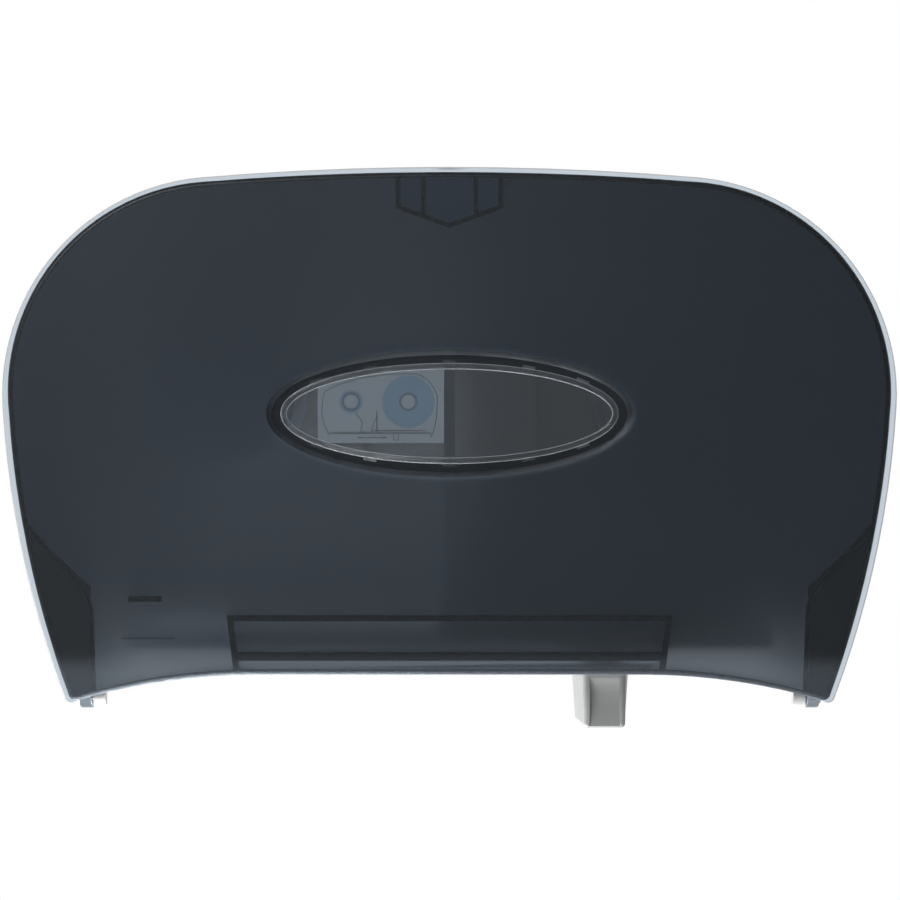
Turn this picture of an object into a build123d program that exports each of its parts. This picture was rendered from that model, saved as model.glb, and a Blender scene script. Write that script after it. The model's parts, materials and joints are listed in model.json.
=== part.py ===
from build123d import *
import math
import os

# Two-roll tissue dispenser with a smoke cover and a sliding shutter, in millimetres.
# X runs left to right, the front faces -Y, the wall is the plane y = 0 and Z is up.
# The origin is the centre of the wall-screw pattern, level with both spindles.

# Shell outline: each pair is the value at the front plane and at the wall, blended in between
FRONT_Y = -147.0
CORNER_X = (125.4, 131.5)
CORNER_R = (113.8, 125.0)
SIDE_R = (560.0, 571.0)
LEG_Z = (-168.2, -178.0)
TOP_R = 1700.0
SIDE_START_DEG = -3.5
ARCH_FLAT_X = 105.0
ARCH_Z = -153.6
LEG_CORNER_R = 4.0
LEG_CORNER_MIN_R = 1.0

# Clearances, and how far a cutter runs past what it cuts
GAP = 0.4
RUNNING = 0.05
BITE = 0.5
OVERRUN = 20.0

# Base moulding
RIM_Y = -32.0
RIM_WALL = 3.0
PLATE_T = 4.0
PAD_Y = -10.0
LOW_PAD_Y = PAD_Y + 1.0
BASE_BOTTOM_Z = -147.0
BAY_H = 100.0
BAY_R = 12.0
BAY_RIM_T = 2.5
LEG_INNER_X = 196.0
LIP_Y = RIM_Y - 6.0
LIP_ROOT = 4.0
LIP_OUTER = 3.5
LIP_MID = 4.4
LIP_INNER = 5.3
LIP_BOTTOM_Z = -120.0
PAD_MARGIN = 2.0
PLATE_RIB_T = 2.0
PLATE_RIB_X = 48.0
PLATE_RIB_Z = (-128.0, 112.0)
RING_R = 73.0
CENTRE_HOLE_R = 8.0
CENTRE_HOLE_Z = -63.0

# Wall-screw holes
WALL_HOLE_R = 3.2
WALL_HOLE_X = 76.0
WALL_HOLE_Z = 70.0
WALL_BOSS_R = 9.0
WALL_BOSS_Y = -7.0

# Screws
SCREW_R = 1.6
SCREW_HEAD = (3.6, 2.4)
SCREW_HEAD_ROUND = 1.2
SLOT_W = 0.9
PILOT_Y = -1.5
LONG_SCREW = 14.0
SHORT_SCREW = 11.0
COUNTERSINK = (3.4, 1.8)

# Hinge at the foot of each leg
HINGE_Y = -12.0
HINGE_Z = LEG_Z[1] + 5.5
HINGE_PIN_R = 2.0
PIN_HEAD_R = 3.6
PIN_HEAD_T = 1.7
LUG_R = 4.5
LUG_ROOT_H = 3.0
LUG_X = (LEG_INNER_X, LEG_INNER_X + 6.8)
EAR_X = (LUG_X[1] + GAP, LUG_X[1] + GAP + 6.5)
EAR_R = 6.2
EAR_PROFILE = ((-48.0, 2.5), (-48.0, 12.5), (-18.0, 12.5), (0.0, EAR_R), (0.0, -EAR_R),
               (-12.0, -4.5), (-30.0, 1.9))
EAR_ROOM_X = (LEG_INNER_X - 6.0, EAR_X[1] + 3.8)
EAR_ROOM_TOP_Z = HINGE_Z + 17.5
FOOT_ROOM_TOP_Z = HINGE_Z + 1.5

# Cover moulding
COVER_WALL = 3.0
COVER_EDGE_R = 2.5
COVER_BACK_Y = RIM_Y - GAP
COVER_IN_Y = FRONT_Y + COVER_WALL
BOTTOM_LIP_Y = FRONT_Y + 20.0
TOOTH_PITCH = 5.7
TOOTH_DEPTH = 2.4

# Ribs on the inside of the cover's front wall
RIB_BACK_Y = COVER_IN_Y + 17.5
RIB_ROOT = 1.0
RIB_FIT = 0.6
FRAME_X = (115.0, 119.0)
FRAME_Z = (ARCH_Z - 1.4, ARCH_Z + 30.7)
FRAME_RIB_T = 3.4
FRAME_LOW_Z = ARCH_Z + 9.8
FRAME_LOW_T = 4.8
TAB_MIDDLE = (-165.05, ARCH_Z + 41.05)
TAB_SIZE = (18.3, 3.1)
TAB_BACK_Y = COVER_IN_Y + 8.0
SCORE_MIDDLE = (-163.5, ARCH_Z + 19.6)
SCORE_SIZE = (29.0, 0.7)
SCORE_BACK_Y = COVER_IN_Y + 0.8
WEB_BACK_Y = LIP_Y - 2.0
WEB_X = LEG_INNER_X - 3.4
WEB_BEND = ((51.4, 98.6), (35.9, 79.8), (12.9, 54.1), (3.9, 42.6))
WEB_FOOT = ((4.0, 42.9), (2.0, 35.7), (0.0, LEG_Z[1] + 3.0 - ARCH_Z))

# Window
WIN_Z = -12.0
LENS_DEPTH = 3.2
LENS_PROUD = 0.6
LENS_EDGE_R = 0.9
LENS_OUT = (91.5, 27.3)
LENS_IN = (LENS_OUT[0] - 3.3, LENS_OUT[1] - 3.1)
WIN_RECESS = (LENS_OUT[0] + 5.0, LENS_OUT[1] + 4.5)
WIN_HALO = (WIN_RECESS[0] + 5.7, WIN_RECESS[1] + 5.7)
WIN_SURROUND = 3.0
WIN_FLOOR_Y = FRONT_Y + LENS_DEPTH
WIN_BACK_Y = WIN_FLOOR_Y + 2.8
WIN_BEVEL = 1.1
PANE_T = 1.6
PANE_OVERLAP = 1.0
SNAP_TURNS = (90, 62, 118, 38, 142)
SNAP_TAB = (7.0, 3.4)
SNAP_T = 1.2
CARD_X = (-71.4, -3.0)
CARD_Z = (WIN_Z - 16.0, WIN_Z + 25.5)
CARD_T = 0.4
CARD_GAP = 0.3

# Spindles, level with the corners' centres
SPINDLE_X = CORNER_X[0]
POST_FLANGE_R = 24.0
POST_R = 8.0
POST_FLANGE_T = 6.0
HUB_R = 41.0
HUB_WALL = 2.5
HUB_Y = (FRONT_Y + 33.0, PAD_Y - 10.0)
HUB_FLANGE_R = 46.0
HUB_FLANGE_T = 2.5
HUB_TUBE_R = 11.5
HUB_TUBE_Y = (HUB_Y[0] + 10.0, PAD_Y - 8.4)
HUB_WEB_T = 3.0
HUB_SPOKE_Y = HUB_TUBE_Y[0] + 44.0
HUB_SPOKE_T = 2.0
HUB_JOIN = 0.3
CAP_T = 3.0
CAP_DOME = (4.0, 3.0)
CAP_SLOPE = (2.4, 6.0)
POST_END_Y = HUB_TUBE_Y[0] - 0.6
AXLE_SCREW_R = 2.0
AXLE_HEAD = (5.2, 3.0)
AXLE_SCREW = 15.0
AXLE_WASHER_T = 1.2
POST_SCREW_R = 19.0

# Paper shelf, with the shutter's rails under it
SHELF_X = LEG_INNER_X - 20.0
SHELF_FRONT_Y = FRONT_Y + 23.0
RAIL_Z = BASE_BOTTOM_Z + 5.6
RAIL_T = 3.5
RAIL_H = 4.6
SHELF_Z = (RAIL_Z + RAIL_H, RAIL_Z + RAIL_H + 3.8)
FLANGE_T = 3.0
FLANGE_TOP_Z = SHELF_Z[1] + 15.8
STOP_X = SHELF_X - 8.0
EXIT_X = (8.0, STOP_X - 3.0)
EXIT_Y = (SHELF_FRONT_Y + 12.0, PAD_Y - 14.0)
EXIT_R = 10.0
RAIL_FOOT_T = 1.5
RAIL_FOOT_REACH = 5.5
GUSSET_T = 3.0
GUSSET_FRONT_Y = PAD_Y - 86.0
GUSSET_BEND = (PAD_Y - 20.0, SHELF_Z[1] + 9.8)
SHELF_SCREW_X = (-150.0, -50.0, 50.0, 150.0)
SHELF_SCREW_Z = SHELF_Z[1] + 8.3
SHELF_PAD = 9.0

# Fin between the rolls
DIVIDER_TOP_Z = 30.0
DIVIDER_Y = (SHELF_FRONT_Y + 6.0, PAD_Y - 8.0)
DIVIDER_FRONT = ((8.0, 10.0), (18.0, 0.0))
DIVIDER_REAR = ((4.0, 12.0), (16.0, 0.0))
DIVIDER_T = 2.5
DIVIDER_BEAD = (3.0, 5.8)
DIVIDER_FOOT = (13.0, 2.2)
TONGUE_T = 3.0
TONGUES_Y = ((DIVIDER_Y[0] + 14.0, DIVIDER_Y[0] + 36.0), (DIVIDER_Y[1] - 34.0, DIVIDER_Y[1] - 12.0))

# Shutter and lever
LEVER_X = 85.0
SHUTTER_GAP = 0.5
SHUTTER_W = 2 * (STOP_X - SHUTTER_GAP - LEVER_X)
SHUTTER_R = 4.0
SHUTTER_T = 2.4
SHUTTER_TOP_Z = SHELF_Z[0] - 0.3
LEVER_Y = (SHELF_FRONT_Y + 6.0, PAD_Y - 28.0)
LEVER_Z = (ARCH_Z - 30.4, ARCH_Z + 1.6)
LEVER_FRONT_W = (22.4, 23.6)
LEVER_REAR_W = (28.2, 32.6)
LEVER_EDGE_R = 2.4
DISH_R = 34.0
DISH_DEPTH = 3.0
DISH_HALF_W = 8.2
DISH_DROP = 2.0
NECK_HALF_W = 9.0
NECK_Y = (LEVER_Y[0] + 6.0, LEVER_Y[1] - 2.0)
POCKET_HALF_W = 8.0
POCKET_ROOF = 12.0
POCKETS_Y = ((LEVER_Y[0] + 38.0, LEVER_Y[0] + 50.0), (LEVER_Y[0] + 54.0, LEVER_Y[0] + 72.0))
LEVER_SCREW_Y = (LEVER_Y[0] + 22.0, LEVER_Y[0] + 66.0)

# Lock in the top of the cover: heights below the crown at the lock
LOCK_Y = -60.0
BARREL_R = 9.0
BARREL_HEAD_R = 11.0
BARREL_CHAMFER = 0.6
HEAD_ROOM = 0.3
BOSS_R = 14.0
BOSS_DEPTH = 17.7
SEAT_DEPTH = 2.6
TOP_DEPTH = 0.5
FOOT_DEPTH = 21.7
CAM_DEPTH = (26.7, 23.7)
CLIP_SLOT = (1.9, 0.6)
CLIP_BITE = 1.5
CLIP_MOUTH = 4.5
CLIP_R = BARREL_R + 3.0
KEY_SLOT = (1.1, 4.2, 12.0)
KEY_DISH = (3.2, 1.2)
CAM_REACH = 24.0
CAM_W = 11.0
CAM_EYE = 3.0
DRIVE = 9.0
CAM_SCREW_HEAD = (6.4, 2.6)
CAM_SCREW = 7.0
LOCK_BOX_X = (14.3, 27.8)
LOCK_BOX_DEPTH = (35.7, 25.7)
LOCK_BOX_T = 2.7
LOCK_BOX_INNER_T = 2.5

# Keeper bracket that the cam turns in behind
KEEPER_T = 3.0
KEEPER_FLANGE_X = (-10.0, CAM_REACH)
KEEPER_FLANGE_Z = (62.0, 90.0)
KEEPER_SCREW_Z = (KEEPER_FLANGE_Z[0] + 7.0, KEEPER_FLANGE_Z[1] - 7.0)
KEEPER_SCREW_X = KEEPER_FLANGE_X[0] + 8.0
KEEPER_POST_X = (CAM_REACH - 8.5, CAM_REACH - 2.0)
KEEPER_ARM_X = 9.0
KEEPER_ARM_DROP = 13.0
KEEPER_TIP = 1.0
KEEPER_GAP = 1.0
KEEPER_ROUND = 2.0


def mix(pair, y):
    share = (y - FRONT_Y) / (0 - FRONT_Y)
    return pair[0] + share * (pair[1] - pair[0])


def top_centre_z(y):
    return -math.sqrt((TOP_R - mix(CORNER_R, y)) ** 2 - mix(CORNER_X, y) ** 2)


def crown(depth):
    # Height of a point so far below the crown of the case, above the lock
    return top_centre_z(LOCK_Y) + TOP_R - depth


def at_y(y):
    return Plane(origin=(0, y, 0), x_dir=(1, 0, 0), z_dir=(0, -1, 0))


def at_z(z):
    return Plane(origin=(0, 0, z), x_dir=(1, 0, 0), z_dir=(0, 0, 1))


def at_x(x):
    return Plane(origin=(x, 0, 0), x_dir=(0, 1, 0), z_dir=(1, 0, 0))


def slab(sketch, y0, y1):
    # An X-Z sketch from y0 in front to y1 behind
    return extrude(at_y(y1) * sketch, y1 - y0)


def layer(sketch, z0, z1):
    return extrude(at_z(z0) * sketch, z1 - z0)


def side_slab(sketch, x0, x1):
    return extrude(at_x(x0) * sketch, x1 - x0)


def block(xs, ys, zs):
    size = [b - a for a, b in (xs, ys, zs)]
    centre = [(a + b) / 2 for a, b in (xs, ys, zs)]
    return Pos(*centre) * Box(*size)


def rod_y(x, z, r, y0, y1):
    return slab(Pos(x, z) * Circle(r), y0, y1)


def rod_x(y, z, r, x0, x1):
    return side_slab(Pos(y, z) * Circle(r), x0, x1)


def rod_z(x, y, r, z0, z1):
    return layer(Pos(x, y) * Circle(r), z0, z1)


def both_sides(shape):
    return shape + mirror(shape, about=Plane.YZ)


def signed(side, pair):
    return (pair[0], pair[1]) if side > 0 else (-pair[1], -pair[0])


def strip(points, width):
    return trace(Polyline(*points), line_width=width)


def outline(points):
    return make_face(Polyline(*points, close=True))


def arc_points(cx, cz, r, a0, a1):
    mid = (a0 + a1) / 2
    return [(cx + r * math.cos(a), cz + r * math.sin(a)) for a in (a0, mid, a1)]


def shell_section(y, inset=0.0):
    # Closed outline of the case at depth y: long top arc, round corners, flared legs, arched bottom
    cx, r0, side_r = mix(CORNER_X, y), mix(CORNER_R, y), mix(SIDE_R, y)
    start = math.radians(SIDE_START_DEG)
    top_cz = top_centre_z(y)
    side_cx = cx + (r0 - side_r) * math.cos(start)
    side_cz = (r0 - side_r) * math.sin(start)
    leg_z = mix(LEG_Z, y) + inset
    arch_z = ARCH_Z + inset
    leg_x = side_cx + math.sqrt((side_r - inset) ** 2 - (leg_z - side_cz) ** 2)
    meet = math.atan2(-top_cz, cx)
    corner = arc_points(cx, 0, r0 - inset, meet, start)
    side_end = math.atan2(leg_z - side_cz, leg_x - side_cx)
    side = arc_points(side_cx, side_cz, side_r - inset, start, side_end)
    run, drop = leg_x - ARCH_FLAT_X, arch_z - leg_z
    arch_r = (run ** 2 + drop ** 2) / (2 * drop)
    arch_end = math.pi / 2 - math.asin(run / arch_r)
    arch = arc_points(ARCH_FLAT_X, arch_z - arch_r, arch_r, arch_end, math.pi / 2)
    top_left = (-corner[0][0], corner[0][1])
    edges = [ThreePointArc(top_left, (0, top_cz + TOP_R - inset), corner[0])]
    for points in (corner, side, arch):
        edges.append(ThreePointArc(*points))
        edges.append(ThreePointArc(*[(-x, z) for x, z in points]))
    edges.append(Line((-ARCH_FLAT_X, arch_z), (ARCH_FLAT_X, arch_z)))
    face = make_face(edges)
    feet = face.vertices().sort_by(Axis.Y)[:2]
    return fillet(feet, max(LEG_CORNER_R - inset, LEG_CORNER_MIN_R))


def shell_loft(y0, y1, inset=0.0):
    return loft([at_y(y) * shell_section(y, inset) for y in (y0, y1)], ruled=True)


def shell_ring(y0, y1, outer, inner):
    # Band of the case's outline between two insets, open at both ends
    return shell_loft(y0, y1, outer) - shell_loft(y0 - RIB_ROOT, y1 + RIB_ROOT, inner)


def cross_slot(half_length, depth):
    size = (2 * half_length, SLOT_W)
    return Box(*size, depth) + Box(*size[::-1], depth)


def screw(length, head=SCREW_HEAD, shank_r=SCREW_R):
    # Pan-head screw standing on z = 0 with its shank pointing down
    top = Cylinder(*head, align=(Align.CENTER, Align.CENTER, Align.MIN))
    top = fillet(top.edges().sort_by(Axis.Z)[-1:], SCREW_HEAD_ROUND)
    shank = Pos(0, 0, -length / 2) * Cylinder(shank_r, length)
    return top + shank - Pos(0, 0, head[1]) * cross_slot(head[0] / 2, head[1])


def facing_front(shape, x, y, z):
    # Turns a part that stands along +Z so that it points to the front
    return Pos(x, y, z) * Rot(90, 0, 0) * shape


def post_screw_spots(side):
    for turn in (90, 210, 330):
        a = math.radians(turn)
        yield side * SPINDLE_X + POST_SCREW_R * math.cos(a), POST_SCREW_R * math.sin(a)


def keeper_screw_spots():
    return [(KEEPER_SCREW_X, z) for z in KEEPER_SCREW_Z]


def base_tray():
    tray = shell_loft(RIM_Y, 0) - shell_loft(RIM_Y - RIB_ROOT, -PLATE_T, RIM_WALL)
    lip = shell_ring(LIP_Y, RIM_Y + LIP_ROOT, LIP_OUTER, LIP_INNER)
    root = shell_ring(RIM_Y, RIM_Y + LIP_ROOT, RIM_WALL - HUB_JOIN, LIP_MID)
    reach = max(CORNER_X) + max(CORNER_R) + OVERRUN
    below = block((-reach, reach), (LIP_Y - OVERRUN, 0), (LEG_Z[1] - OVERRUN, LIP_BOTTOM_Z))
    tray += (lip + root) - below
    bay_place = Pos(0, BASE_BOTTOM_Z - BAY_H / 2)
    bay = bay_place * RectangleRounded(2 * LEG_INNER_X, BAY_H, BAY_R)
    bay_size = (2 * (LEG_INNER_X + BAY_RIM_T), BAY_H + 2 * BAY_RIM_T)
    bay_rim = bay_place * RectangleRounded(*bay_size, BAY_R + BAY_RIM_T)
    tray -= slab(bay, LIP_Y - OVERRUN, OVERRUN)
    tray += slab(bay_rim - bay, LOW_PAD_Y, BITE - PLATE_T) & shell_loft(RIM_Y, 0, RIM_WALL / 3)
    room_y = (RIM_Y - OVERRUN, -PLATE_T)
    ear_room = block(EAR_ROOM_X, room_y, (LEG_Z[1] - OVERRUN, EAR_ROOM_TOP_Z))
    foot_room = block((EAR_ROOM_X[0], reach), room_y, (LEG_Z[1] - OVERRUN, FOOT_ROOM_TOP_Z))
    return tray - both_sides(ear_room + foot_room)


def wall_holes():
    return [(x, z) for x in (-WALL_HOLE_X, WALL_HOLE_X) for z in (-WALL_HOLE_Z, WALL_HOLE_Z)]


def plate_pads():
    back = BITE - PLATE_T
    ring = slab(Circle(RING_R + PLATE_RIB_T) - Circle(RING_R), LOW_PAD_Y, back)
    pads = Part()
    for side in (-1, 1):
        pads += rod_y(side * SPINDLE_X, 0, POST_FLANGE_R + PAD_MARGIN, PAD_Y, back)
        pads += Pos(side * SPINDLE_X, 0, 0) * ring
        rib = signed(side, (PLATE_RIB_X - PLATE_RIB_T / 2, PLATE_RIB_X + PLATE_RIB_T / 2))
        pads += block(rib, (LOW_PAD_Y, back), PLATE_RIB_Z)
    for x in SHELF_SCREW_X:
        zs = (SHELF_SCREW_Z - SHELF_PAD + 1, SHELF_SCREW_Z + SHELF_PAD - 1)
        pads += block((x - SHELF_PAD, x + SHELF_PAD), (PAD_Y, back), zs)
    pads += block(KEEPER_FLANGE_X, (PAD_Y, back), KEEPER_FLANGE_Z)
    pads += [rod_y(x, z, WALL_BOSS_R, WALL_BOSS_Y, back) for x, z in wall_holes()]
    return pads


def back_plate():
    plate = base_tray() + both_sides(hinge_lug()) + plate_pads()
    plate -= [rod_y(x, z, WALL_HOLE_R, RIM_Y, OVERRUN) for x, z in wall_holes()]
    plate -= rod_y(0, CENTRE_HOLE_Z, CENTRE_HOLE_R, RIM_Y, OVERRUN)
    pilots = [*post_screw_spots(-1), *post_screw_spots(1), *keeper_screw_spots()]
    pilots += [(x, SHELF_SCREW_Z) for x in SHELF_SCREW_X]
    plate -= [rod_y(x, z, SCREW_R, PAD_Y - BITE, PILOT_Y) for x, z in pilots]
    return plate


def hinge_lug():
    lug = rod_x(HINGE_Y, HINGE_Z, LUG_R, *LUG_X)
    root_z = (HINGE_Z - LUG_R, HINGE_Z + LUG_R + LUG_ROOT_H)
    root = block(LUG_X, (HINGE_Y, BITE - PLATE_T), root_z)
    return lug + root - rod_x(HINGE_Y, HINGE_Z, HINGE_PIN_R, LUG_X[0] + 1, LUG_X[1] + 1)


def hinge_pin(side):
    shank = rod_x(HINGE_Y, HINGE_Z, HINGE_PIN_R, LUG_X[0] + 1, EAR_X[1] + 1)
    head_x = EAR_X[1] + HEAD_ROOM
    pin = shank + rod_x(HINGE_Y, HINGE_Z, PIN_HEAD_R, head_x, head_x + PIN_HEAD_T)
    return pin if side > 0 else mirror(pin, about=Plane.YZ)


def window_ellipse(radii, grow=0.0):
    return Pos(0, WIN_Z) * Ellipse(radii[0] + grow, radii[1] + grow)


def bottom_lip_cut():
    # Area behind the serrated rear edge of the cover's bottom lip
    edge = WEB_X - COVER_WALL / 2
    count = round(2 * edge / TOOTH_PITCH)
    pitch = 2 * edge / count
    points = [(edge, OVERRUN), (-edge, OVERRUN)]
    for i in range(count):
        points.append((-edge + i * pitch, BOTTOM_LIP_Y))
        points.append((-edge + (i + 0.5) * pitch, BOTTOM_LIP_Y - TOOTH_DEPTH))
    points.append((edge, BOTTOM_LIP_Y))
    return outline(points)


def corner_web():
    bend = [(WEB_X + x, ARCH_Z + z) for x, z in WEB_BEND]
    foot = [(WEB_X + x, ARCH_Z + z) for x, z in WEB_FOOT]
    curve = Spline(*bend, tangents=[(-0.6, -0.8), (-0.45, -0.9)])
    return trace(curve, line_width=COVER_WALL) + strip(foot, COVER_WALL)


def lock_box_ribs():
    top, point, shoulder = crown(0), crown(LOCK_BOX_DEPTH[0]), crown(LOCK_BOX_DEPTH[1])
    inner_x, outer_x = LOCK_BOX_X
    half = [(outer_x, top), (outer_x, shoulder)]
    ribs = strip([(-x, z) for x, z in half] + [(0, point)] + half[::-1], LOCK_BOX_T)
    meet = point + (shoulder - point) * inner_x / outer_x
    for x in (-inner_x, inner_x):
        ribs += strip([(x, top), (x, meet)], LOCK_BOX_INNER_T)
    return ribs


def cover_ribs():
    root = COVER_IN_Y - RIB_ROOT
    corners = [(FRAME_X[0], FRAME_Z[0]), (FRAME_X[1], FRAME_Z[1])]
    frame = strip([(-x, z) for x, z in corners] + corners[::-1], FRAME_RIB_T)
    low = Pos(0, FRAME_LOW_Z) * Rectangle(FRAME_X[0] + FRAME_X[1], FRAME_LOW_T)
    ribs = slab(frame + low + lock_box_ribs(), root, RIB_BACK_Y)
    ribs += slab(Pos(*TAB_MIDDLE) * Rectangle(*TAB_SIZE), root, TAB_BACK_Y)
    ribs += slab(Pos(*SCORE_MIDDLE) * Rectangle(*SCORE_SIZE), root, SCORE_BACK_Y)
    ribs += both_sides(slab(corner_web(), root, WEB_BACK_Y))
    return ribs & shell_loft(COVER_IN_Y - RIB_FIT, WEB_BACK_Y + 2, COVER_WALL - RIB_FIT)


def hinge_ear():
    plate = outline([(HINGE_Y + y, HINGE_Z + z) for y, z in EAR_PROFILE])
    ear = side_slab(plate, *EAR_X) + rod_x(HINGE_Y, HINGE_Z, EAR_R, *EAR_X)
    return ear - rod_x(HINGE_Y, HINGE_Z, HINGE_PIN_R + RUNNING, EAR_X[0] - 1, EAR_X[1] + 1)


def cover_window(body):
    body += slab(window_ellipse(WIN_RECESS, WIN_SURROUND), COVER_IN_Y - RIB_ROOT, WIN_BACK_Y)
    body -= slab(window_ellipse(WIN_RECESS), FRONT_Y - OVERRUN, WIN_FLOOR_Y)
    wide = at_y(FRONT_Y - 0.01) * window_ellipse(WIN_HALO)
    narrow = at_y(FRONT_Y + WIN_BEVEL) * window_ellipse(WIN_RECESS)
    return body - loft([wide, narrow], ruled=True)


def cover():
    outer = shell_loft(FRONT_Y, COVER_BACK_Y)
    outer = fillet(outer.faces().sort_by(Axis.Y)[0].edges(), COVER_EDGE_R)
    body = outer - shell_loft(COVER_IN_Y, COVER_BACK_Y + 1, COVER_WALL)
    lip_top = ARCH_Z + 1.5 * COVER_WALL
    body -= layer(bottom_lip_cut(), LEG_Z[1] - OVERRUN, lip_top)
    body += cover_ribs()
    body += both_sides(hinge_ear())
    body = cover_window(body)
    body += rod_z(0, LOCK_Y, BOSS_R, crown(BOSS_DEPTH), crown(SEAT_DEPTH) + BITE)
    body -= rod_z(0, LOCK_Y, BARREL_R + RUNNING, crown(BOSS_DEPTH) - 1, crown(-OVERRUN))
    body -= rod_z(0, LOCK_Y, BARREL_HEAD_R + HEAD_ROOM, crown(SEAT_DEPTH), crown(-OVERRUN))
    return body


def snap_tab(turn):
    # Small tab that stands out round the lens, square to its edge
    a = math.radians(turn)
    spot = Pos(LENS_OUT[0] * math.cos(a), WIN_Z + LENS_OUT[1] * math.sin(a))
    lean = math.degrees(math.atan2(LENS_OUT[1] * math.cos(a), -LENS_OUT[0] * math.sin(a)))
    return slab(spot * Rot(0, 0, lean) * Rectangle(*SNAP_TAB), WIN_FLOOR_Y - SNAP_T, WIN_FLOOR_Y)


def window_lens():
    rim = window_ellipse(LENS_OUT) - window_ellipse(LENS_IN)
    ring = slab(rim, FRONT_Y - LENS_PROUD, WIN_FLOOR_Y)
    ring = fillet(ring.faces().sort_by(Axis.Y)[0].edges(), LENS_EDGE_R)
    pane_y = FRONT_Y + LENS_PROUD
    lens = ring + slab(window_ellipse(LENS_IN, PANE_OVERLAP), pane_y, pane_y + PANE_T)
    for turn in SNAP_TURNS:
        lens += snap_tab(turn)
        lens += snap_tab(turn + 180)
    return lens


def instruction_card():
    size = (CARD_X[1] - CARD_X[0], CARD_Z[1] - CARD_Z[0])
    middle = Pos((CARD_X[0] + CARD_X[1]) / 2, (CARD_Z[0] + CARD_Z[1]) / 2)
    card = middle * Rectangle(*size) & window_ellipse(LENS_IN, -CARD_GAP)
    return slab(card, WIN_FLOOR_Y - CARD_T, WIN_FLOOR_Y)


def spindle_post(side):
    x = side * SPINDLE_X
    face = PAD_Y - POST_FLANGE_T
    post = rod_y(x, 0, POST_FLANGE_R, face, PAD_Y)
    post += rod_y(x, 0, HUB_TUBE_R, HUB_TUBE_Y[1] + GAP, face)
    post += rod_y(x, 0, POST_R, POST_END_Y, PAD_Y)
    post -= rod_y(x, 0, AXLE_SCREW_R, POST_END_Y - 1, POST_END_Y + AXLE_SCREW + 1)
    post -= [rod_y(*spot, SCREW_R, face - OVERRUN / 2, PAD_Y + 1) for spot in post_screw_spots(side)]
    return post


def spindle_hub(side):
    inner_r = HUB_R - HUB_WALL
    hub = slab(Circle(HUB_R) - Circle(inner_r), *HUB_Y)
    hub += slab(Circle(HUB_FLANGE_R) - Circle(inner_r), HUB_Y[1] - HUB_FLANGE_T, HUB_Y[1])
    hub += slab(Circle(HUB_TUBE_R), *HUB_TUBE_Y)
    hub += slab(Circle(inner_r + HUB_JOIN), HUB_TUBE_Y[0], HUB_TUBE_Y[0] + HUB_WEB_T)
    spoke_y = (HUB_TUBE_Y[0] + HUB_WEB_T - 1, HUB_SPOKE_Y)
    spoke = block((HUB_TUBE_R - 1, inner_r + BITE), spoke_y, (-HUB_SPOKE_T / 2, HUB_SPOKE_T / 2))
    for turn in range(0, 360, 60):
        hub += Rot(0, turn, 0) * spoke
    hub -= rod_y(0, 0, POST_R + RUNNING, FRONT_Y, 0)
    return Pos(side * SPINDLE_X, 0, 0) * hub


def hub_cap(side):
    inner_r = HUB_R - HUB_WALL
    cap = rod_y(0, 0, inner_r, HUB_Y[0], HUB_Y[0] + CAP_T)
    dome = rod_y(0, 0, inner_r - CAP_DOME[0], HUB_Y[0] - CAP_DOME[1], HUB_Y[0])
    dome = chamfer(dome.faces().sort_by(Axis.Y)[0].edges(), *CAP_SLOPE)
    return Pos(side * SPINDLE_X, 0, 0) * (cap + dome)


def axle_screw(side):
    head = screw(AXLE_SCREW, AXLE_HEAD, AXLE_SCREW_R)
    washer = Pos(0, 0, AXLE_WASHER_T / 2) * Cylinder(HUB_TUBE_R - BITE, AXLE_WASHER_T)
    return facing_front(head + washer, side * SPINDLE_X, POST_END_Y, 0)


def shelf_rails():
    z0 = SHELF_Z[0]
    front, back = SHELF_FRONT_Y, PAD_Y - FLANGE_T
    xs = (-SHELF_X, SHELF_X)
    foot_z = (RAIL_Z, RAIL_Z + RAIL_FOOT_T)
    rails = block(xs, (front, front + RAIL_T), (RAIL_Z, z0))
    rails += block(xs, (back - RAIL_T, back), (RAIL_Z, z0))
    rails += block(xs, (front + RAIL_T, front + RAIL_T + RAIL_FOOT_REACH), foot_z)
    rails += block(xs, (back - RAIL_T - RAIL_FOOT_REACH, back - RAIL_T), foot_z)
    for side in (-1, 1):
        rails += block(signed(side, (STOP_X, SHELF_X)), (front, back), (RAIL_Z, z0))
    return rails


def shelf_gusset():
    low, back = SHELF_Z[1] - BITE / 2, PAD_Y - FLANGE_T + 1
    points = [(GUSSET_FRONT_Y, low), (back, low), (back, FLANGE_TOP_Z), GUSSET_BEND]
    return side_slab(outline(points), SHELF_X - GUSSET_T, SHELF_X)


def paper_exit(side):
    xs, ys = signed(side, EXIT_X), EXIT_Y
    middle = Pos((xs[0] + xs[1]) / 2, (ys[0] + ys[1]) / 2)
    hole = middle * RectangleRounded(xs[1] - xs[0], ys[1] - ys[0], EXIT_R)
    return layer(hole, SHELF_Z[0] - GAP / 4, SHELF_Z[1] + 1)


def paper_shelf():
    z0, z1 = SHELF_Z
    xs = (-SHELF_X, SHELF_X)
    shelf = block(xs, (SHELF_FRONT_Y, PAD_Y), SHELF_Z)
    shelf += block(xs, (PAD_Y - FLANGE_T, PAD_Y), (z0, FLANGE_TOP_Z))
    shelf += shelf_rails()
    shelf += both_sides(shelf_gusset())
    shelf -= paper_exit(-1) + paper_exit(1)
    shelf -= [rod_y(x, SHELF_SCREW_Z, SCREW_R, RIM_Y, 0) for x in SHELF_SCREW_X]
    shelf -= [block((-TONGUE_T / 2, TONGUE_T / 2), ys, (z0 - 1, z1 + 1)) for ys in TONGUES_Y]
    return shelf


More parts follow.
